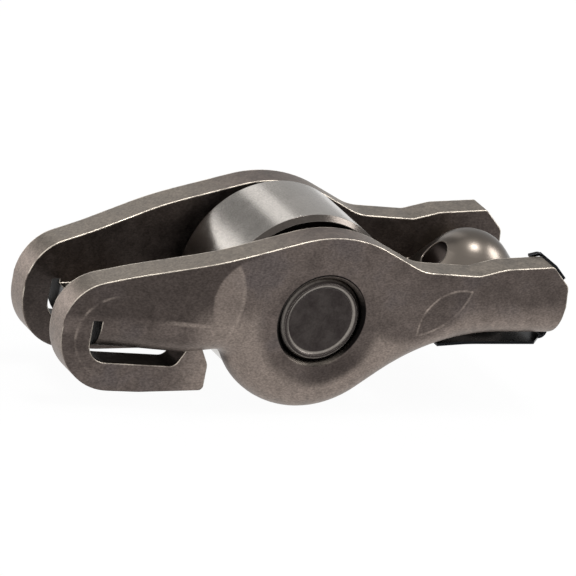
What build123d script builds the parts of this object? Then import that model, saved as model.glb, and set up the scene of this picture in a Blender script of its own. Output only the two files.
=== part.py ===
"""Roller finger follower: a stamped rocker arm with a needle-bearing cam roller.

The origin is the centre of the roller's axle. +X runs towards the pivot socket,
-X towards the valve, and +Z is the side that the camshaft presses on.
Everything is in millimetres.
"""

import math
import os

from build123d import *

# Sheet that the arm is stamped from
wall = 2.6
fold_radius = 2.5

# Plan of the arm: wide round the roller, narrow at the valve
wide_half = 8.0
nose_half = 5.65
joggle_end = (-17.9, 6.36)
joggle_start_x = -10.7
joggle_radius = 20.0

# Upper side of the cheeks, from the nose to the socket end
nose_x = -23.7
nose_top_z = 1.87
nose_radius = 4.25
crest = (1.25, 8.68)
crest_radius = 12.0
saddle = (9.3, 4.7)
saddle_radius = 5.0
dip = (14.95, 4.38)
dip_radius = 2.0
shoulder = (17.6, 5.05)
shoulder_radius = 3.0
end_top = (22.35, 5.32)
end_top_radius = 0.35
end_foot = (24.2, 3.45)
end_foot_radius = 0.9
end_x = 24.4
end_corner_z = 1.5
end_heel_x = 23.95
end_heel_radius = 0.8

# Lower side of the cheeks: boss round the axle, ramp and web
web_bottom_z = -1.75
boss_centre = (0.0, 0.13)
boss_radius = 9.05
ramp_angle = 37.0
web_sweep_radius = 19.0
neck_z = -3.35
neck_radius = 1.2

# Valve pad, bent in between the cheeks
pad_left_x = -20.2
pad_right_x = -12.2
pad_bottom_z = -3.9
pad_lift_radius = 4.0
pad_land_half = 3.0
pad_land_left_x = -19.9
pad_land_right_x = -12.9
pad_land_height = 0.1

# Guide hooks on both sides of the valve stem, and the slot above them
relief_width = 0.82
relief_top_z = -0.85
hook_heel_z = -7.25
hook_sole = (-15.5, -7.58)
hook_tip = (-9.25, -7.42)
hook_shoulder_z = -5.0
hook_top_z = -3.38
hook_top_left_x = -11.4
hook_top_right_x = -10.1
slot_end = (-12.4, -5.18)
slot_heel_z = -4.73
hook_root = 0.5
hook_heel_radius = 5.4
hook_sole_radius = 10.0
hook_tip_radius = 0.45
hook_shoulder_radius = 1.2
hook_point_radius = 0.3
slot_end_radius = 0.9
slot_heel_radius = 1.9

# Window for the roller
window_right_x = 9.7

# Pivot socket, a dome pushed up out of the web
socket_x = 18.3
crown_top_z = 5.5
crown_radius = 4.1
flank_angle = 50.0
dome_end_land = 0.3
seat_radius = 4.0
seat_centre_z = -1.2
oil_hole_radius = 1.35
oil_hole_tilt = 40.0

# Axle, staked into the cheeks
axle_radius = 4.0
axle_fit = 0.01
axle_recess = 0.1
axle_bevel = 0.5
axle_crest_radius = 3.4
axle_dish_radius = 3.1
axle_dish_depth = 0.16
axle_crest_width = 0.12
hole_bevel = 0.3

# Cam roller, needles and the raised faces that guide them
roller_radius = 8.5
roller_width = 8.8
roller_bevel = 0.45
roller_bore_bevel = 0.25
guide_radius = 6.6
guide_clearance = 0.2
needle_radius = 0.8
needle_count = 18
needle_clearance = 0.03
needle_length = 8.4

# Retaining clip of spring strip
clip_sheet = 0.25
clip_drop = 0.76
clip_half = 6.5
clip_tip_drop = 0.98
clip_tip_clearance = 0.066
clip_flat_x = 16.0
clip_flat_radius = 25.0
clip_corner_x = 22.8
clip_end_half = 4.6
clip_fork_clearance = 0.3
clip_end_gap = 0.06
clip_bend_radius = 0.5
clip_leg_outer_y = -5.2
clip_leg_inner_y = -3.0
clip_leg_top_z = 2.4
clip_ear_inner_y = -4.75
clip_ear_length = 1.65
clip_lip_length = 1.0
clip_lip_drop = 0.25

# Worked out from the sizes above
pad_top_z = pad_bottom_z + wall
nose_base_z = pad_bottom_z + fold_radius
web_top_z = web_bottom_z + wall
wide_inner_half = wide_half - wall
relief_left_x = pad_left_x - relief_width
nose_taper = (joggle_end[1] - nose_half) / (joggle_end[0] - nose_x)
hook_half = nose_half + nose_taper * (relief_left_x - nose_x)
needle_pitch_radius = axle_radius + needle_clearance + needle_radius
roller_bore_radius = needle_pitch_radius + needle_radius + needle_clearance
axle_half = wide_half - axle_recess
crown_centre_z = crown_top_z - crown_radius
ramp = math.radians(ramp_angle)
ramp_start = (
    boss_centre[0] + boss_radius * math.sin(ramp),
    boss_centre[1] - boss_radius * math.cos(ramp),
)
ramp_top_x = ramp_start[0] + (web_bottom_z - ramp_start[1]) / math.tan(ramp)
web_sweep_end_x = ramp_top_x + web_sweep_radius * math.tan(ramp / 2)
beyond = 40.0

os.makedirs("parts", exist_ok=True)


# Solid block of the arm: plan and underside first, so that the folded edge runs on
# past both ends, and then the side outline of the cheeks
with BuildPart() as block:
    boss_left_x = boss_centre[0] - math.sqrt(boss_radius**2 - (neck_z - boss_centre[1]) ** 2)
    boss_bottom = (boss_centre[0], boss_centre[1] - boss_radius)
    with BuildSketch(Plane.XZ) as underside:
        with BuildLine():
            pad_line = FilletPolyline(
                (-beyond, pad_bottom_z),
                (pad_right_x, pad_bottom_z),
                (boss_left_x, neck_z),
                radius=pad_lift_radius,
            )
            ThreePointArc((boss_left_x, neck_z), boss_bottom, ramp_start)
            web_line = FilletPolyline(
                ramp_start,
                (ramp_top_x, web_bottom_z),
                (beyond, web_bottom_z),
                radius=web_sweep_radius,
            )
            Polyline(web_line @ 1, (beyond, beyond), (-beyond, beyond), pad_line @ 0)
        make_face()
        fillet(
            underside.vertices().sort_by_distance((boss_left_x, neck_z))[0],
            neck_radius,
        )
    extrude(amount=beyond, both=True)
    with BuildSketch(Plane.XY) as plan:
        with BuildLine():
            edge = FilletPolyline(
                (-beyond, nose_half - nose_taper * (nose_x + beyond)),
                joggle_end,
                (joggle_start_x, wide_half),
                (beyond, wide_half),
                radius=joggle_radius,
            )
            other_edge = mirror(edge, about=Plane.XZ)
            Line(edge @ 0, other_edge @ 0)
            Line(edge @ 1, other_edge @ 1)
        make_face()
    extrude(amount=beyond, both=True, mode=Mode.INTERSECT)
    lower_edges = block.edges().filter_by(Axis.Z, reverse=True).filter_by(
        lambda e: abs(e.center().Y) > wall and e.center().Z < 0
    )
    fillet(lower_edges, fold_radius)
    with BuildSketch(Plane.XZ) as side:
        with BuildLine():
            cheek_top = FilletPolyline(
                (end_x, end_corner_z),
                end_foot,
                end_top,
                shoulder,
                dip,
                saddle,
                crest,
                (nose_x, nose_top_z),
                (nose_x, nose_base_z),
                radius=[
                    end_foot_radius,
                    end_top_radius,
                    shoulder_radius,
                    dip_radius,
                    saddle_radius,
                    crest_radius,
                    nose_radius,
                ],
            )
            Polyline(
                (nose_x, nose_base_z),
                (relief_left_x, nose_base_z),
                (relief_left_x, relief_top_z),
                (pad_left_x, relief_top_z),
                (pad_left_x, -beyond),
                (end_heel_x - 2 * end_heel_radius, -beyond),
                (end_heel_x - 2 * end_heel_radius, web_bottom_z),
            )
            FilletPolyline(
                (end_heel_x - 2 * end_heel_radius, web_bottom_z),
                (end_heel_x, web_bottom_z),
                (end_x, end_corner_z),
                radius=end_heel_radius,
            )
        make_face()
    extrude(amount=beyond, both=True, mode=Mode.INTERSECT)


# Space between the cheeks: over the pad and the web, and right through at the roller
with BuildPart() as channel:
    ramp_low = (ramp_start[0] - wall * math.sin(ramp), ramp_start[1] + wall * math.cos(ramp))
    with BuildSketch(Plane.XZ) as over_web:
        with BuildLine():
            web_top = FilletPolyline(
                ramp_low,
                (ramp_top_x - wall * math.tan(ramp / 2), web_top_z),
                (beyond, web_top_z),
                radius=web_sweep_radius + wall,
            )
            Polyline(
                web_top @ 1,
                (beyond, beyond),
                (-beyond, beyond),
                (-beyond, -beyond),
                (pad_left_x, -beyond),
                (pad_left_x, pad_top_z),
                (pad_right_x, pad_top_z),
                (pad_right_x, -beyond),
                (ramp_low[0], -beyond),
                web_top @ 0,
            )
        make_face()
        with BuildLine():
            Polyline(
                (pad_right_x, -beyond),
                (window_right_x, -beyond),
                (window_right_x, 0),
                (pad_right_x, 0),
                close=True,
            )
        make_face()
    extrude(amount=beyond, both=True)
    with BuildSketch(Plane.XY) as inner_plan:
        add(plan.sketch)
        offset(amount=-wall)
    extrude(amount=beyond, both=True, mode=Mode.INTERSECT)


# Guide hook: the nose runs down and back under the pad, in line with the cheek
with BuildPart() as hook:
    with BuildSketch(Plane.XZ) as hook_side:
        with BuildLine():
            FilletPolyline(
                (nose_x, nose_base_z),
                (nose_x, hook_heel_z),
                hook_sole,
                hook_tip,
                (hook_tip[0], hook_shoulder_z),
                (hook_top_right_x, hook_top_z),
                (hook_top_left_x, hook_top_z),
                slot_end,
                (relief_left_x, slot_heel_z),
                (relief_left_x, nose_base_z),
                radius=[
                    hook_heel_radius,
                    hook_sole_radius,
                    hook_tip_radius,
                    hook_shoulder_radius,
                    hook_point_radius,
                    hook_point_radius,
                    slot_end_radius,
                    slot_heel_radius,
                ],
            )
            Polyline(
                (relief_left_x, nose_base_z),
                (relief_left_x, nose_base_z + hook_root),
                (nose_x, nose_base_z + hook_root),
                (nose_x, nose_base_z),
            )
        make_face()
    extrude(amount=beyond, both=True)
    with BuildSketch(Plane.XY) as hook_plan:
        with BuildLine():
            hook_edge = Polyline(
                (-beyond, nose_half - nose_taper * (nose_x + beyond)),
                (relief_left_x, hook_half),
                (0, hook_half),
                (0, hook_half - wall),
                (relief_left_x, hook_half - wall),
                (-beyond, nose_half - wall - nose_taper * (nose_x + beyond)),
                close=True,
            )
        make_face()
        mirror(about=Plane.XZ)
    extrude(amount=beyond, both=True, mode=Mode.INTERSECT)


# Pivot socket: domed crown and a straight flank down into the web
with BuildPart() as dome:
    flank = math.radians(flank_angle)
    crown_edge = (
        socket_x + crown_radius * math.sin(flank),
        crown_centre_z + crown_radius * math.cos(flank),
    )
    base_z = web_bottom_z + wall / 2
    flank_foot = (crown_edge[0] + (crown_edge[1] - base_z) / math.tan(flank), base_z)
    with BuildSketch(Plane.XZ) as dome_section:
        with BuildLine():
            CenterArc(
                (socket_x, crown_centre_z), crown_radius, 90 - flank_angle, flank_angle
            )
            Polyline(crown_edge, flank_foot, (socket_x, base_z), (socket_x, crown_top_z))
        make_face()
    revolve(axis=Axis((socket_x, 0, 0), (0, 0, 1)))
    split(bisect_by=Plane.YZ.offset(end_x - dome_end_land), keep=Keep.BOTTOM)


# The stamped arm, one piece of sheet
with BuildPart() as arm:
    add(block.part)
    add(channel.part, mode=Mode.SUBTRACT)
    add(hook.part)
    add(dome.part)
    with Locations(((pad_land_left_x + pad_land_right_x) / 2, 0, pad_bottom_z)):
        Box(
            pad_land_right_x - pad_land_left_x,
            2 * pad_land_half,
            2 * pad_land_height,
        )
    with BuildSketch(Plane.XZ) as guide_faces:
        Circle(guide_radius)
    extrude(amount=wide_inner_half, both=True)
    with BuildSketch(Plane.XZ) as between_guides:
        Circle(guide_radius + guide_clearance)
    extrude(amount=roller_width / 2 + guide_clearance, both=True, mode=Mode.SUBTRACT)
    with Locations((socket_x, 0, seat_centre_z)):
        Sphere(seat_radius, mode=Mode.SUBTRACT)
    with Locations(Location((socket_x, 0, seat_centre_z), (0, -oil_hole_tilt, 0))):
        Cylinder(
            oil_hole_radius,
            2 * crown_top_z,
            align=(Align.CENTER, Align.CENTER, Align.MIN),
            mode=Mode.SUBTRACT,
        )
    with BuildSketch(Plane.XZ) as axle_hole:
        Circle(axle_radius + axle_fit)
    extrude(amount=beyond, both=True, mode=Mode.SUBTRACT)
    hole_rims = arm.edges().filter_by(GeomType.CIRCLE).filter_by(
        lambda e: abs(e.radius - axle_radius - axle_fit) < 0.001
        and abs(abs(e.center().Y) - wide_half) < 0.001
    )
    chamfer(hole_rims, hole_bevel)


# Axle: a raised ring round each dished end
with BuildPart() as axle:
    with BuildSketch(Plane.XY) as axle_section:
        with BuildLine():
            half = Polyline(
                (0, 0),
                (0, axle_half - axle_dish_depth),
                (axle_dish_radius, axle_half - axle_dish_depth),
                (axle_crest_radius - axle_crest_width, axle_half),
                (axle_crest_radius + axle_crest_width, axle_half),
                (axle_radius, axle_half - axle_bevel),
                (axle_radius, 0),
                close=True,
            )
        make_face()
        mirror(about=Plane.XZ)
    revolve(axis=Axis.Y)


# Cam roller
with BuildPart() as roller:
    with BuildSketch(Plane.XZ) as ring:
        Circle(roller_radius)
        Circle(roller_bore_radius, mode=Mode.SUBTRACT)
    extrude(amount=roller_width / 2, both=True)
    rims = roller.edges().filter_by(GeomType.CIRCLE).group_by(SortBy.RADIUS)
    chamfer(rims[-1], roller_bevel)
    chamfer(rims[0], roller_bore_bevel)


def make_needle(turn):
    """One needle of the roller's bearing, at its place round the axle."""
    with BuildPart() as needle:
        with BuildSketch(Plane.XZ):
            with PolarLocations(needle_pitch_radius, 1, start_angle=turn):
                Circle(needle_radius)
        extrude(amount=needle_length / 2, both=True)
    return needle.part


# Clip of spring strip: a forked plate under the web, a leg up the end and an ear over a cheek
with BuildPart() as clip:
    end_gap_x = end_x + clip_end_gap
    clip_top_z = web_bottom_z - clip_drop
    clip_tip_reach = math.sqrt(
        web_sweep_radius**2 - (web_sweep_radius - clip_tip_drop) ** 2
    )
    clip_tip = (
        web_sweep_end_x - clip_tip_reach + clip_tip_clearance,
        web_bottom_z - clip_tip_drop,
    )
    with BuildSketch(Plane.XZ) as plate_side:
        with BuildLine():
            FilletPolyline(
                clip_tip,
                (clip_flat_x, clip_top_z),
                (end_gap_x - clip_bend_radius, clip_top_z),
                radius=clip_flat_radius,
            )
            offset(amount=clip_sheet, side=Side.RIGHT)
        make_face()
    extrude(amount=clip_half, both=True)
    with BuildSketch(Plane.XY) as plate:
        with BuildLine():
            half_plate = Polyline(
                (0, 0),
                (0, clip_half),
                (clip_corner_x, clip_half),
                (end_gap_x, clip_end_half),
                (end_gap_x, 0),
                close=True,
            )
        make_face()
        mirror(about=Plane.XZ)
        fork_half = seat_radius + clip_fork_clearance
        with Locations((socket_x, 0)):
            Circle(fork_half, mode=Mode.SUBTRACT)
        with Locations((socket_x / 2, 0)):
            Rectangle(socket_x, 2 * fork_half, mode=Mode.SUBTRACT)
    extrude(amount=beyond, both=True, mode=Mode.INTERSECT)
    slope = (end_top[1] - end_foot[1]) / (end_foot[0] - end_top[0])
    with BuildSketch(Plane.XZ.offset(-clip_leg_inner_y)) as leg_section:
        with BuildLine():
            FilletPolyline(
                (end_gap_x, clip_leg_top_z),
                (end_gap_x, clip_top_z),
                (end_gap_x - 2 * clip_bend_radius, clip_top_z),
                radius=clip_bend_radius,
            )
            offset(amount=clip_sheet, side=Side.LEFT)
        make_face()
    extrude(amount=clip_leg_inner_y - clip_leg_outer_y)
    with BuildSketch(Plane.XZ.offset(-clip_ear_inner_y)) as strip_section:
        with BuildLine():
            FilletPolyline(
                (end_top[0] - clip_lip_length, end_top[1] - clip_lip_drop),
                end_top,
                (end_gap_x, end_top[1] - slope * (end_gap_x - end_top[0])),
                (end_gap_x, clip_top_z + clip_bend_radius),
                radius=clip_bend_radius,
            )
            offset(amount=clip_sheet, side=Side.LEFT)
        make_face()
    extrude(amount=clip_ear_inner_y - clip_leg_outer_y)
    ear_angle = math.atan(slope)
    ear_foot = (
        end_top[0] + clip_ear_length * math.cos(ear_angle),
        end_top[1] - clip_ear_length * math.sin(ear_angle),
    )
    with BuildSketch(Plane.XZ.offset(-clip_ear_inner_y)) as ear_section:
        with BuildLine():
            Line(end_top, ear_foot)
            offset(amount=clip_sheet, side=Side.LEFT)
        make_face()
    extrude(amount=wide_half + clip_ear_inner_y)


def write(part, name):
    part.label = name
    export_step(part, f"parts/{name}.step")


write(arm.part, "arm_body")
write(axle.part, "axle_pin")
write(roller.part, "cam_roller")
write(clip.part, "retaining_clip")
for index in range(needle_count):
    write(make_needle(index * 360 / needle_count), f"needle_{index + 1:02d}")
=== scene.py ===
import math

import bmesh
import bpy
from mathutils import Matrix, Vector


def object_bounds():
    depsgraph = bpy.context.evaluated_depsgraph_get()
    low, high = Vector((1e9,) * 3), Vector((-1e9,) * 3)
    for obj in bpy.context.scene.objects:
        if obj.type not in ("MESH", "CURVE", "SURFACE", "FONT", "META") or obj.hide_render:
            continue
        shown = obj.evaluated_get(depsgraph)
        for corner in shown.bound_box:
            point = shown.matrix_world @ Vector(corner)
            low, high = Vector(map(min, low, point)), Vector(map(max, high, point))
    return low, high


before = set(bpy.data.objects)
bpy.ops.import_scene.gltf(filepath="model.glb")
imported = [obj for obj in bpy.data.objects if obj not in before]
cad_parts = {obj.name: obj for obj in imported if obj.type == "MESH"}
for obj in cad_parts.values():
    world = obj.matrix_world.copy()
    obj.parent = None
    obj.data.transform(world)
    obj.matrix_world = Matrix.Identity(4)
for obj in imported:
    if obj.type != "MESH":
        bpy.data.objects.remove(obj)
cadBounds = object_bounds()
print("frame loaded:", len(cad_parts), "nodes")

mm = 0.001  # in metres

view = {
    "azimuth": -29.345,
    "elevation": 20.259,
    "roll": -11.361,
    "distance": 0.51856,
    "aside": 0.00045929,  # to the camera's right, before the roll, in metres
    "above": -0.0000879,
    "lens": 365.29,  # mm, for a sensor this wide
    "sensor": 36,
    "nearest": 0.01,  # metres
}


def setCamera():
    azimuth, elevation, roll = (math.radians(view[k]) for k in ("azimuth", "elevation", "roll"))
    back = Vector(
        (
            math.sin(azimuth) * math.cos(elevation),
            -math.cos(azimuth) * math.cos(elevation),
            math.sin(elevation),
        )
    )
    right = Vector((math.cos(azimuth), math.sin(azimuth), 0))
    up = back.cross(right)
    place = back * view["distance"] + right * view["aside"] + up * view["above"]
    xAxis = right * math.cos(roll) - up * math.sin(roll)
    yAxis = right * math.sin(roll) + up * math.cos(roll)
    turn = Matrix((xAxis, yAxis, back)).transposed().to_4x4()
    data = bpy.data.cameras.new("camera")
    data.lens = view["lens"]
    data.sensor_width = view["sensor"]
    data.clip_start = view["nearest"]
    camera = bpy.data.objects.new("camera", data)
    camera.matrix_world = Matrix.Translation(place) @ turn
    bpy.context.scene.collection.objects.link(camera)
    bpy.context.scene.camera = camera


setCamera()
print("camera set")


def linear(hexColour):
    parts = [int(hexColour[i : i + 2], 16) / 255 for i in (1, 3, 5)]
    return [c / 12.92 if c <= 0.04045 else ((c + 0.055) / 1.055) ** 2.4 for c in parts] + [1.0]


# Adds a node; an input is given a value, or another node's output to link. A Mix node of colours
# takes its share on input 0 and the colours on 6 and 7, and gives the mixed one on output 2
def addNode(tree, kind, settings=None, inputs=None):
    node = tree.nodes.new(kind)
    for name, value in (settings or {}).items():
        setattr(node, name, value)
    for name, value in (inputs or {}).items():
        if isinstance(value, bpy.types.NodeSocket):
            tree.links.new(value, node.inputs[name])
        else:
            node.inputs[name].default_value = value
    return node


def newMaterial(name):
    material = bpy.data.materials.new(name)
    material.use_nodes = True
    tree = material.node_tree
    tree.nodes.clear()
    shader = addNode(tree, "ShaderNodeBsdfPrincipled")
    addNode(tree, "ShaderNodeOutputMaterial", inputs={"Surface": shader.outputs[0]})
    return material, tree, shader


def dress(nodeName, material):
    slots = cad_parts[nodeName].material_slots
    if not len(slots):
        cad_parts[nodeName].data.materials.append(material)
    for slot in slots:
        slot.material = material


# Cloudy patches of a real size in mm, from 0 to 1; a low softness gives them clear borders
def patches(tree, place, size, softness, detail=3.0):
    noise = addNode(
        tree,
        "ShaderNodeTexNoise",
        inputs={"Vector": place, "Scale": 1 / (size * mm), "Detail": detail, "Roughness": 0.6},
    )
    spread = addNode(
        tree,
        "ShaderNodeMapRange",
        {"interpolation_type": "SMOOTHSTEP"},
        {"Value": noise.outputs[0], "From Min": 0.5 - softness, "From Max": 0.5 + softness},
    )
    return spread.outputs[0]


# How far the rounded normal leans from the face's own, as a cosine, where the rubbing and the
# painted highlight start and where they are full; more samples draw them more evenly
edgeWearAndHighlight = {"samples": 10, "starts": 0.95, "full": 0.83}


# Rounds the edges for the eye and finds where they are rubbed and painted with a highlight
def rubbedAndHighlitEdges(tree, radius):
    rounded = addNode(
        tree, "ShaderNodeBevel", {"samples": edgeWearAndHighlight["samples"]}, {"Radius": radius * mm}
    )
    flat = addNode(tree, "ShaderNodeNewGeometry")
    turn = addNode(
        tree,
        "ShaderNodeVectorMath",
        {"operation": "DOT_PRODUCT"},
        {0: rounded.outputs[0], 1: flat.outputs["True Normal"]},
    )
    edge = addNode(
        tree,
        "ShaderNodeMapRange",
        {"interpolation_type": "SMOOTHSTEP"},
        {
            "Value": turn.outputs["Value"],
            "From Min": edgeWearAndHighlight["starts"],
            "From Max": edgeWearAndHighlight["full"],
        },
    )
    return rounded.outputs[0], edge.outputs[0]


# What the zones of a finish are measured by: the place in mm, how a face is turned, and the
# distance in mm to each mark
def takeMeasures(tree, place, marks):
    spot = addNode(
        tree, "ShaderNodeVectorMath", {"operation": "SCALE"}, {0: place, "Scale": 1 / mm}
    ).outputs[0]
    along = addNode(tree, "ShaderNodeSeparateXYZ", inputs={0: spot})
    facing = addNode(tree, "ShaderNodeNewGeometry")
    side = addNode(tree, "ShaderNodeSeparateXYZ", inputs={0: facing.outputs["True Normal"]})
    outward = addNode(
        tree,
        "ShaderNodeMath",
        {"operation": "MULTIPLY"},
        {0: side.outputs["Y"], 1: along.outputs["Y"]},
    )
    measures = {
        "x": along.outputs["X"],
        "y": along.outputs["Y"],
        "z": along.outputs["Z"],
        "up": side.outputs["Z"],
        "outward": outward.outputs[0],  # over 0 on faces turned outwards, under 0 on inner ones
    }
    seenFromSide = addNode(
        tree, "ShaderNodeVectorMath", {"operation": "MULTIPLY"}, {0: spot, 1: (1, 0, 1)}
    ).outputs[0]
    for mark, (x, z, isBall) in marks.items():
        reach = addNode(
            tree,
            "ShaderNodeVectorMath",
            {"operation": "DISTANCE"},
            {0: spot if isBall else seenFromSide, 1: (x, 0, z)},
        )
        measures[mark] = reach.outputs["Value"]
    return measures


# Each zone mixes its colour in by a share. Each limit is a measure, where the zone starts to show
# and where it shows in full
def paintZones(tree, skin, look, zones, measures):
    for zone in zones:
        share = zone["share"]
        for measure, start, end in zone["limits"]:
            share = addNode(
                tree,
                "ShaderNodeMapRange",
                {"interpolation_type": "SMOOTHSTEP"},
                {"Value": measures[measure], "From Min": start, "From Max": end, "To Max": share},
            ).outputs[0]
        skin = addNode(
            tree,
            "ShaderNodeMix",
            {"data_type": "RGBA"},
            {0: share, 6: skin, 7: linear(look[zone["colour"]])},
        ).outputs[2]
    return skin


# Limits that many zones of the stamped sheet share
outerFace = ("outward", 1, 4)
topFace = ("up", 0.45, 0.9)
offTheSeam = ("fromNoseSeam", 0.5, 0.8)

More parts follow.
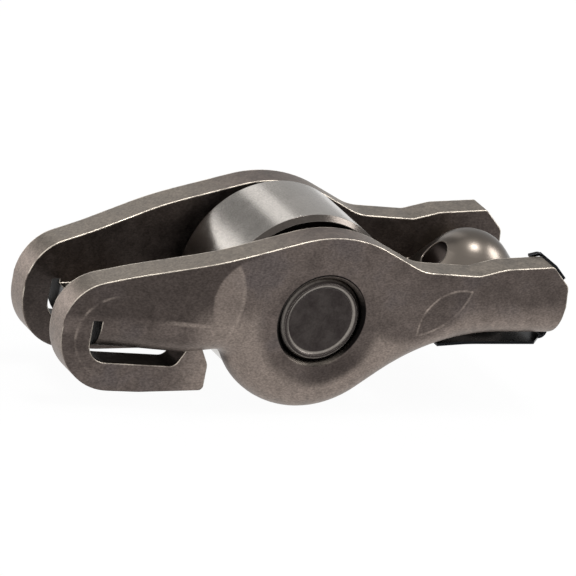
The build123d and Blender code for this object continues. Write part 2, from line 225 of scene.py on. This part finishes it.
# Sheet steel, blanked, folded and case hardened: a matte brown-grey oxide skin, cloudy and finely
# speckled, with darker and paler marks where the press held it, painted shade in its hollows and
# on faces turned from the light, painted light on faces turned to the floor, and its top edges
# rubbed bright and painted with highlights
stampedSteel = {
    "oxide": "#6b615c",
    "darkOxideAndShade": "#433c39",
    "paleOxideAndLight": "#8d8179",
    "bluedOxide": "#4d494c",
    "markLine": "#a89b91",
    "topOxide": "#7d756c",
    "shadedInside": "#544c48",
    "shadedRim": "#100e0e",
    "burnished": "#676059",
    "paintedHighlight": "#eff0f2",
    "rubbedAndHighlit": "#fff4e4",
    # sizes of the patterns and of the rounding, in mm
    "cloudSize": 5.0,
    "spotSize": 1.4,
    "speckSize": 0.14,  # the skin's own grain is finer; it is drawn this coarse to show at all
    "pitSize": 0.5,
    "edgeRadius": 0.25,
    "grainLength": 1.7,  # a speck is so many times as long as wide, along the arm
    "cloudSoftness": 0.25,  # of clouds and spots
    "speckSoftness": 0.3,  # of specks and pits
    # what the darkest and the palest places of each pattern make of the colour
    "spotShades": (0.88, 1.12),
    "speckShades": (0.7, 1.3),
    "pitShades": (0.88, 1.06),
    "roughness": (0.4, 0.52),  # least and most, by the spots
    "bump": 0.25,
    "bumpDepth": 0.015,  # mm
    "pitDepth": 1.5,  # times the depth of the specks
    # the burnished dome is the smoothest; its finish ends between two distances from fromDome
    "domeReach": (5.2, 6.3),
    "domeRoughness": 0.29,
    "domeBump": 0.03,
    # x and z in mm of each mark's middle, and whether it is a ball or a column across the arm;
    # fromBoss is the middle of the boss round the axle
    "marks": {
        "fromBoss": (0, 0.13, False),
        "leftMark": (-6.8, 1.9, False),
        "leftMarkEnd": (-13.5, 1.8, False),
        "rightMark": (13.66, -0.87, False),
        "rightMarkEnd": (8.74, 4.67, False),
        "fromDome": (18.3, 1.4, True),
        "fromSlotNose": (-18.6, -2.3, False),
        "fromNoseSeam": (-23.8, -0.85, False),
    },
    "zones": [
        {"colour": "darkOxideAndShade", "share": 0.5, "limits": [("clouds", 0.9, 0.1)]},
        {"colour": "bluedOxide", "share": 0.4, "limits": [("clouds", 0.55, 1.0), outerFace]},
        {  # painted shade on the panel that the press drew inwards
            "colour": "darkOxideAndShade",
            "share": 0.72,
            "limits": [outerFace, ("leftMark", 3.9, 4.2), ("x", -6, -8), ("z", -0.8, -0.2)],
        },
        {  # its lower border
            "colour": "markLine",
            "share": 0.35,
            "limits": [
                outerFace,
                ("z", -0.8, -0.6),
                ("z", -0.25, -0.45),
                ("x", -15.0, -13.5),
                ("x", -10.1, -10.5),
            ],
        },
        {  # painted shade over the slot, darker down towards it
            "colour": "darkOxideAndShade",
            "share": 0.5,
            "limits": [outerFace, ("x", -10, -12.5), ("z", -1.2, -3.0), ("z", -4.0, -3.6)],
        },
        {  # pale crescent beside the panel
            "colour": "paleOxideAndLight",
            "share": 0.5,
            "limits": [outerFace, ("leftMark", 4.1, 3.85), ("leftMarkEnd", 5.6, 5.35)],
        },
        {  # dark lens towards the socket
            "colour": "darkOxideAndShade",
            "share": 0.3,
            "limits": [outerFace, ("rightMark", 3.9, 3.7), ("rightMarkEnd", 6.1, 5.9)],
        },
        {  # upper flank beside the socket
            "colour": "darkOxideAndShade",
            "share": 0.35,
            "limits": [outerFace, ("x", 7, 10), ("z", 0.8, 2.4)],
        },
        {  # painted light on the lower border of the whole cheek, as from the floor below
            "colour": "paleOxideAndLight",
            "share": 0.85,
            "limits": [
                outerFace,
                ("fromBoss", 5.3, 6.6),
                ("rightMarkEnd", 6.0, 7.3),
                ("z", 1.9, -0.9),
                ("x", -13.0, -9.5),
            ],
        },
        {  # hollow over the nose of the slot
            "colour": "darkOxideAndShade",
            "share": 0.5,
            "limits": [outerFace, ("fromSlotNose", 3.75, 3.3), ("z", -1.8, -0.8)],
        },
        {  # and the line round it
            "colour": "markLine",
            "share": 0.35,
            "limits": [
                outerFace,
                ("fromSlotNose", 3.62, 3.77),
                ("fromSlotNose", 3.98, 3.83),
                ("x", -18.8, -20.0),
                ("spots", 0.0, 1.0),
            ],
        },
        {  # fronts of the noses, which the punch left bright
            "colour": "markLine",
            "share": 0.5,
            "limits": [("x", -21.2, -22.4), ("outward", 2.2, 0.8), ("outward", -2.2, -0.8)],
        },
        {  # oil that weeps from the axle
            "colour": "darkOxideAndShade",
            "share": 0.85,
            "limits": [("fromBoss", 6.7, 5.7), ("z", -2.0, -4.2), ("x", -3, 1)],
        },
        # painted shade on the rim of the axle's hole, in the gap round the pin
        {"colour": "shadedRim", "share": 1.0, "limits": [("fromBoss", 4.36, 4.28)]},
        {  # pale line along the lens's upper left edge
            "colour": "markLine",
            "share": 0.6,
            "limits": [
                ("rightMark", 4.0, 3.9),
                ("rightMark", 3.7, 3.85),
                ("rightMarkEnd", 6.2, 6.0),
                ("spots", -0.2, 1.0),
            ],
        },
        {  # and along its lower right edge
            "colour": "markLine",
            "share": 0.45,
            "limits": [
                ("rightMarkEnd", 6.25, 6.1),
                ("rightMarkEnd", 5.9, 6.05),
                ("rightMark", 4.0, 3.8),
                ("spots", 0.0, 1.0),
            ],
        },
        {  # pale line along the crescent's edge towards the pin
            "colour": "markLine",
            "share": 0.3,
            "limits": [
                ("leftMarkEnd", 5.75, 5.6),
                ("leftMarkEnd", 5.3, 5.5),
                ("leftMark", 4.1, 3.9),
            ],
        },
        # cut edges on top, the crest's a little darker
        {"colour": "topOxide", "share": 1.0, "limits": [topFace]},
        {"colour": "oxide", "share": 0.8, "limits": [topFace, ("z", 6.0, 8.0)]},
        # painted light on faces turned down, as from the floor, and then painted shade on the
        # insides of the cheeks
        {"colour": "paleOxideAndLight", "share": 0.6, "limits": [("up", -0.2, -0.9)]},
        {"colour": "shadedInside", "share": 1.0, "limits": [("outward", -1, -3)]},
        # painted shade on faces turned up low down, in the slots of the hooks
        {"colour": "shadedRim", "share": 0.9, "limits": [("up", 0.3, 0.7), ("z", -3.8, -4.4)]},
        {  # painted shade on the end wall of the slot
            "colour": "shadedRim",
            "share": 0.9,
            "limits": [
                ("x", -21.3, -21.1),
                ("x", -19.0, -20.0),
                ("outward", 2, 0.8),
                ("outward", -2, -0.8),
                ("z", 0.2, -0.4),
                ("z", -6.6, -6.0),
            ],
        },
        {  # painted highlight on the front of the valve pad, nearly white
            "colour": "paintedHighlight",
            "share": 0.95,
            "limits": [
                ("x", -20.5, -20.3),
                ("x", -19.0, -20.0),
                ("y", -3.3, -2.9),
                ("y", 3.3, 2.9),
                ("outward", 3, 1),
                ("outward", -3, -1),
                ("up", 0.6, 0.3),
                ("up", -0.8, -0.6),
                ("z", 0.5, -0.5),
                ("z", -4.2, -4.0),
            ],
        },
    ],
    "domeZones": [
        {  # the dome, burnished by the tool that pushed it up
            "colour": "burnished",
            "share": 1.0,
            "limits": [("fromDome", 6.3, 5.2), ("fromDome", 3.85, 4.0), ("z", 0.0, 1.0)],
        },
        {  # painted shade inside its oil hole
            "colour": "shadedInside",
            "share": 1.0,
            "limits": [("fromDome", 4.0, 3.85), ("z", 0.0, 1.0)],
        },
    ],
    "edgeZones": [
        # every edge a little paler: rubbed, and a faint painted highlight
        {"colour": "paleOxideAndLight", "share": 0.25, "limits": [("edge", 0, 1), offTheSeam]},
        {  # rubbed and painted with a highlight in places along the upper edges that lean towards the lamp above, but not round the axle or the oil hole
            "colour": "rubbedAndHighlit",
            "share": 1.0,
            "limits": [
                ("edge", 0, 0.8),
                ("lean", -0.4, 0.35),
                ("spots", -0.3, 0.8),
                ("fromBoss", 4.4, 4.9),
                ("fromDome", 4.6, 5.2),
                offTheSeam,
            ],
        },
    ],
}


def makeStampedSteel():
    look = stampedSteel
    material, tree, shader = newMaterial("stampedSteel")
    place = addNode(tree, "ShaderNodeTexCoord").outputs["Object"]
    measures = takeMeasures(tree, place, look["marks"])
    clouds = patches(tree, place, look["cloudSize"], look["cloudSoftness"])
    spots = patches(tree, place, look["spotSize"], look["cloudSoftness"])
    drawn = addNode(
        tree,
        "ShaderNodeMapping",
        inputs={"Vector": place, "Scale": (1 / look["grainLength"], 1, 1)},
    )
    specks = patches(tree, drawn.outputs[0], look["speckSize"], look["speckSoftness"], detail=2.0)
    pits = patches(tree, place, look["pitSize"], look["speckSoftness"], detail=1.0)

    measures.update({"clouds": clouds, "spots": spots})
    skin = paintZones(tree, linear(look["oxide"]), look, look["zones"], measures)

    # spots, specks and pits shade it a little
    shade = 1.0
    for pattern, shades in ((spots, "spotShades"), (specks, "speckShades"), (pits, "pitShades")):
        dark, pale = look[shades]
        level = addNode(
            tree, "ShaderNodeMapRange", inputs={"Value": pattern, "To Min": dark, "To Max": pale}
        )
        shade = addNode(
            tree, "ShaderNodeMath", {"operation": "MULTIPLY"}, {0: level.outputs[0], 1: shade}
        ).outputs[0]
    skin = addNode(
        tree,
        "ShaderNodeMix",
        {"data_type": "RGBA", "blend_type": "MULTIPLY"},
        {0: 1.0, 6: skin, 7: shade},
    ).outputs[2]

    skin = paintZones(tree, skin, look, look["domeZones"], measures)

    rounded, edge = rubbedAndHighlitEdges(tree, look["edgeRadius"])
    leaning = addNode(tree, "ShaderNodeSeparateXYZ", inputs={0: rounded})
    measures.update({"edge": edge, "lean": leaning.outputs["Z"]})
    skin = paintZones(tree, skin, look, look["edgeZones"], measures)

    least, most = look["roughness"]
    domeEnds, sheetStarts = look["domeReach"]
    dulled = addNode(
        tree, "ShaderNodeMapRange", inputs={"Value": spots, "To Min": least, "To Max": most}
    )
    roughness = addNode(
        tree,
        "ShaderNodeMapRange",
        {"interpolation_type": "SMOOTHSTEP"},
        {
            "Value": measures["fromDome"],
            "From Min": domeEnds,
            "From Max": sheetStarts,
            "To Min": look["domeRoughness"],
            "To Max": dulled.outputs[0],
        },
    )
    dented = addNode(
        tree,
        "ShaderNodeMapRange",
        inputs={
            "Value": measures["fromDome"],
            "From Min": domeEnds,
            "From Max": sheetStarts,
            "To Min": look["domeBump"],
            "To Max": look["bump"],
        },
    )
    relief = addNode(
        tree,
        "ShaderNodeMath",
        {"operation": "MULTIPLY_ADD"},
        {0: pits, 1: look["pitDepth"], 2: specks},
    )
    bump = addNode(
        tree,
        "ShaderNodeBump",
        inputs={
            "Strength": dented.outputs[0],
            "Distance": look["bumpDepth"] * mm,
            "Height": relief.outputs[0],
            "Normal": rounded,
        },
    )
    shader.inputs["Metallic"].default_value = 1.0
    tree.links.new(skin, shader.inputs["Base Color"])
    tree.links.new(roughness.outputs[0], shader.inputs["Roughness"])
    tree.links.new(bump.outputs[0], shader.inputs["Normal"])
    return material


dress("arm_body", makeStampedSteel())
print("arm dressed")


# What the steels of the axle, roller, needles and clip have in common. Their specks, too, are
# drawn coarser than the real grit and grinding marks, which are too fine to show
hardenedSteel = {
    "cloudSoftness": 0.25,
    "speckSoftness": 0.3,
    "smoother": 0.03,  # how far the roughness goes below its middle value, and above it
    "rougher": 0.05,
    "bumpDepth": 0.01,  # mm
    "marks": {"fromBoss": (0, 0.13, False)},  # as on the arm, 0.13 mm over the axle's own line
}


# Hardened steel: soft clouds, fine specks, zones where it has them, and edges made brighter,
# rubbed and with a painted highlight
def makeHardenedSteel(name, look):
    shared = hardenedSteel
    material, tree, shader = newMaterial(name)
    place = addNode(tree, "ShaderNodeTexCoord").outputs["Object"]
    clouds = patches(tree, place, look["cloudSize"], shared["cloudSoftness"])
    specks = patches(tree, place, look["speckSize"], shared["speckSoftness"], detail=2.0)
    skin = addNode(
        tree,
        "ShaderNodeMix",
        {"data_type": "RGBA"},
        {0: clouds, 6: linear(look["dark"]), 7: linear(look["pale"])},
    ).outputs[2]
    if look["zones"]:
        measures = takeMeasures(tree, place, shared["marks"])
        skin = paintZones(tree, skin, look, look["zones"], measures)
    shade = addNode(
        tree,
        "ShaderNodeMapRange",
        inputs={"Value": specks, "To Min": 1 - look["speckle"], "To Max": 1 + look["speckle"]},
    )
    skin = addNode(
        tree,
        "ShaderNodeMix",
        {"data_type": "RGBA", "blend_type": "MULTIPLY"},
        {0: 1.0, 6: skin, 7: shade.outputs[0]},
    ).outputs[2]
    rounded, edge = rubbedAndHighlitEdges(tree, look["edgeRadius"])
    skin = addNode(
        tree,
        "ShaderNodeMix",
        {"data_type": "RGBA"},
        {0: edge, 6: skin, 7: linear(look["rubbedAndHighlit"])},
    ).outputs[2]
    roughness = addNode(
        tree,
        "ShaderNodeMapRange",
        inputs={
            "Value": clouds,
            "To Min": look["roughness"] - shared["smoother"],
            "To Max": look["roughness"] + shared["rougher"],
        },
    )
    bump = addNode(
        tree,
        "ShaderNodeBump",
        inputs={
            "Strength": look["bump"],
            "Distance": shared["bumpDepth"] * mm,
            "Height": specks,
            "Normal": rounded,
        },
    )
    shader.inputs["Metallic"].default_value = 1.0
    tree.links.new(skin, shader.inputs["Base Color"])
    tree.links.new(roughness.outputs[0], shader.inputs["Roughness"])
    tree.links.new(bump.outputs[0], shader.inputs["Normal"])
    return material


# Hardened axle, staked cold: dark satin ends with a crest where the punch turned them, its lines
# rubbed and painted as highlights, and painted shade round its edge in the bore
axleSteel = {
    "dark": "#322d2c",
    "pale": "#443f3d",
    "crest": "#3b3634",
    "wall": "#1c1a1a",
    "rubbedAndHighlit": "#c4bcb3",
    "cloudSize": 1.2,
    "speckSize": 0.16,
    "speckle": 0.14,
    "edgeRadius": 0.1,
    "roughness": 0.36,
    "bump": 0.2,
    "zones": [
        {"colour": "crest", "share": 1.0, "limits": [("fromBoss", 3.0, 3.2)]},
        {  # the crest's inner line, rubbed and painted as a highlight
            "colour": "rubbedAndHighlit",
            "share": 0.4,
            "limits": [("fromBoss", 3.04, 3.16), ("fromBoss", 3.36, 3.22)],
        },
        {  # and its outer one, rubbed and painted as a highlight
            "colour": "rubbedAndHighlit",
            "share": 0.35,
            "limits": [("fromBoss", 3.55, 3.68), ("fromBoss", 3.85, 3.75)],
        },
        # painted shade at the pin's edge, where it sits in the bore
        {"colour": "wall", "share": 1.0, "limits": [("fromBoss", 3.7, 3.95)]},
    ],
}
dress("axle_pin", makeHardenedSteel("axleSteel", axleSteel))

# Through-hardened roller: the running face is centreless ground, a warm grey with broad soft
# reflections, and the ends keep the dark skin of the heat treatment
groundSteel = {
    "dark": "#a7a29c",
    "pale": "#b5b0aa",
    "heatSkin": "#4b4642",
    "rubbedAndHighlit": "#c9c3bb",
    "cloudSize": 4.0,
    "speckSize": 0.13,
    "speckle": 0.16,
    "edgeRadius": 0.08,
    "roughness": 0.19,
    "bump": 0.15,
    "zones": [{"colour": "heatSkin", "share": 1.0, "limits": [("outward", 1.2, 2.4)]}],
}
dress("cam_roller", makeHardenedSteel("groundSteel", groundSteel))

# Lapped bearing needles: the smoothest and brightest steel here
lappedSteel = {
    "dark": "#bcbec0",
    "pale": "#c8cacc",
    "rubbedAndHighlit": "#dedede",
    "cloudSize": 2.0,
    "speckSize": 0.2,
    "speckle": 0.03,
    "edgeRadius": 0.08,
    "roughness": 0.12,
    "bump": 0.03,
    "zones": [],
}
needleSteel = makeHardenedSteel("lappedSteel", lappedSteel)
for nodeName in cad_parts:
    if nodeName.startswith("needle"):
        dress(nodeName, needleSteel)

# Spring strip, blued black in oil: nearly black with a faint blue gloss
blackedStrip = {
    "dark": "#131416",
    "pale": "#1c1d20",
    "rubbedAndHighlit": "#3a3b3e",
    "cloudSize": 1.5,
    "speckSize": 0.25,
    "speckle": 0.15,
    "edgeRadius": 0.08,
    "roughness": 0.28,
    "bump": 0.1,
    "zones": [],
}
dress("retaining_clip", makeHardenedSteel("blackedStrip", blackedStrip))
print("axle, roller, needles and clip dressed")

studio = {
    "worldFill": 0.55,  # how bright the white world is as a light; to the eye it is 1
    "floorReach": 1.5,  # metres, as all lengths here
    "floorGlow": 0.96,  # share of the floor that glows white for the eye
    "floorColour": "#f4f4f4",
    "lampDistance": 0.5,
    "cardDistance": 0.4,
    "cardStep": 0.005,  # each card hangs so much nearer, which keeps them out of one plane
}


# 1 for the rays that see, straight, through glass or mirrored, and 0 for those that only light
def raysThatSee(tree):
    path = addNode(tree, "ShaderNodeLightPath")
    seen = path.outputs["Is Camera Ray"]
    for ray in ("Is Transmission Ray", "Is Glossy Ray"):
        seen = addNode(
            tree, "ShaderNodeMath", {"operation": "MAXIMUM"}, {0: seen, 1: path.outputs[ray]}
        ).outputs[0]
    return seen


def setWorld():
    world = bpy.data.worlds.new("studio")
    bpy.context.scene.world = world
    world.use_nodes = True
    tree = world.node_tree
    tree.nodes.clear()
    level = addNode(
        tree,
        "ShaderNodeMapRange",
        inputs={"Value": raysThatSee(tree), "To Min": studio["worldFill"], "To Max": 1.0},
    )
    background = addNode(tree, "ShaderNodeBackground", inputs={"Strength": level.outputs[0]})
    background.inputs["Color"].default_value = (1, 1, 1, 1)
    addNode(tree, "ShaderNodeOutputWorld", inputs={"Surface": background.outputs[0]})


# A flat sheet with its place in its mesh, linked to the scene as an object of its own
def laySheet(name, size, place):
    shape = bmesh.new()
    bmesh.ops.create_grid(
        shape,
        x_segments=1,
        y_segments=1,
        size=0.5,  # half a side, so that the matrix gives the sheet its full size
        matrix=place @ Matrix.Diagonal((*size, 1, 1)),
    )
    mesh = bpy.data.meshes.new(name)
    shape.to_mesh(mesh)
    shape.free()
    sheet = bpy.data.objects.new(name, mesh)
    bpy.context.scene.collection.objects.link(sheet)
    material = bpy.data.materials.new(name + "Paint")
    material.use_nodes = True
    material.node_tree.nodes.clear()
    mesh.materials.append(material)
    return sheet, material.node_tree


def layFloor():
    reach = studio["floorReach"]
    under = Matrix.Translation((0, 0, cadBounds[0][2]))
    tree = laySheet("floor", (reach, reach), under)[1]
    paint = addNode(tree, "ShaderNodeBsdfDiffuse", inputs={"Color": linear(studio["floorColour"])})
    glow = addNode(tree, "ShaderNodeEmission", inputs={"Color": (1, 1, 1, 1), "Strength": 1.0})
    share = addNode(
        tree,
        "ShaderNodeMath",
        {"operation": "MULTIPLY"},
        {0: raysThatSee(tree), 1: studio["floorGlow"]},
    )
    both = addNode(
        tree,
        "ShaderNodeMixShader",
        inputs={0: share.outputs[0], 1: paint.outputs[0], 2: glow.outputs[0]},
    )
    addNode(tree, "ShaderNodeOutputMaterial", inputs={"Surface": both.outputs[0]})


# Where something stands round the object: a bearing from +Y towards +X, and a height angle
def towards(bearing, height):
    bearing, height = math.radians(bearing), math.radians(height)
    return Vector(
        (
            math.sin(bearing) * math.cos(height),
            math.cos(bearing) * math.cos(height),
            math.sin(height),
        )
    )


# Grey and white cards that only reflections see; the ground roller shows them as bands. Their
# bearings, heights and sizes are in degrees, as seen from the object
cards = [
    {"name": "cardMiddle", "bearing": -12, "height": 36, "wide": 28, "tall": 50, "glow": 0.4},
    {"name": "cardStrip", "bearing": 6, "height": 34, "wide": 14, "tall": 36, "glow": 1.4},
    {"name": "cardRight", "bearing": 42, "height": 20, "wide": 55, "tall": 90, "glow": 0.6},
    {"name": "cardLeft", "bearing": -46, "height": 9, "wide": 30, "tall": 34, "glow": 2.1},
]


def hangCards():
    for steps, card in enumerate(cards):
        distance = studio["cardDistance"] - studio["cardStep"] * steps
        spot = towards(card["bearing"], card["height"]) * distance
        place = Matrix.Translation(spot) @ spot.to_track_quat("Z", "Y").to_matrix().to_4x4()
        size = [2 * distance * math.tan(math.radians(card[k] / 2)) for k in ("wide", "tall")]
        sheet, tree = laySheet(card["name"], size, place)
        glow = addNode(tree, "ShaderNodeEmission", inputs={"Strength": card["glow"]})
        addNode(tree, "ShaderNodeOutputMaterial", inputs={"Surface": glow.outputs[0]})
        sheet.visible_camera = False
        sheet.visible_diffuse = False
        sheet.visible_shadow = False


# Soft boxes: where each stands, its side in metres and its power in watts
lamps = [
    {"name": "overheadBox", "bearing": 96, "height": 83, "size": 0.12, "power": 1.1},
    {"name": "rightBox", "bearing": 97, "height": 41, "size": 0.18, "power": 1.2},
    {"name": "leftBox", "bearing": -75, "height": 35, "size": 0.2, "power": 0.25},
]


def addLamps():
    for lamp in lamps:
        spot = towards(lamp["bearing"], lamp["height"]) * studio["lampDistance"]
        data = bpy.data.lights.new(lamp["name"], "AREA")
        data.energy = lamp["power"]
        data.size = lamp["size"]
        box = bpy.data.objects.new(lamp["name"], data)
        box.location = spot
        box.rotation_euler = spot.to_track_quat("Z", "Y").to_euler()
        bpy.context.scene.collection.objects.link(box)


setWorld()
layFloor()
hangCards()
addLamps()
bpy.context.scene.view_settings.view_transform = "Standard"
print("studio set")
